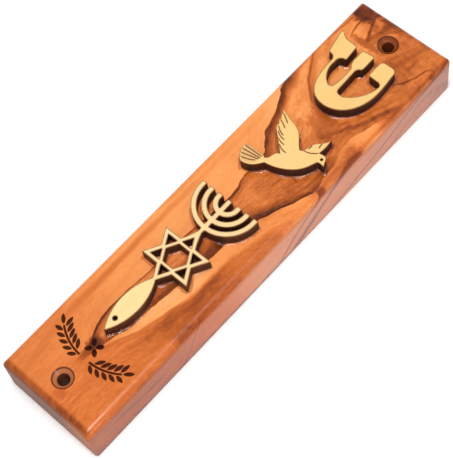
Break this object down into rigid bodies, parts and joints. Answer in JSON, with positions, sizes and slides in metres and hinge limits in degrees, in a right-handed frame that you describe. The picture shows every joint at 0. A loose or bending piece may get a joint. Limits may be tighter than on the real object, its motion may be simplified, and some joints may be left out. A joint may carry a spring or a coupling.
{
  "type": "mezuzah case",
  "caption": "Olive-wood case for a doorpost scroll: plywood letter, dove and menorah-star-fish glued to the face, sliding dovetail cover at the back.",
  "frame": {"origin": "centre of the back face, which lies on the doorpost", "axes": "+Z out of the decorated face, +Y towards the upper end, where the letter is, +X to the reader's right"},
  "size_m": [0.032, 0.145, 0.0187],
  "materials": {
    "olive_wood": "olive wood, clear gloss varnish",
    "olive_wood_cover": "olive wood, sanded and oiled",
    "plywood": "pale plywood, laser-cut, edges burnt dark",
    "glue": "clear dried glue",
    "parchment": "blank parchment, matt",
    "clear_film": "thin clear plastic"
  },
  "bodies": {
    "case": {"case_body": "olive_wood", "shin_letter": "plywood", "dove": "plywood", "menorah_star_fish": "plywood", "shin_glue": "glue", "dove_glue": "glue", "seal_glue": "glue", "parchment_scroll": "parchment", "scroll_sleeve": "clear_film"},
    "cover": {"back_cover": "olive_wood_cover"}
  },
  "joints": [
    {"name": "cover_slide", "type": "slide", "parent": "case", "child": "cover", "axis": [0, 1, 0], "range_m": [0, 0.116]}
  ]
}
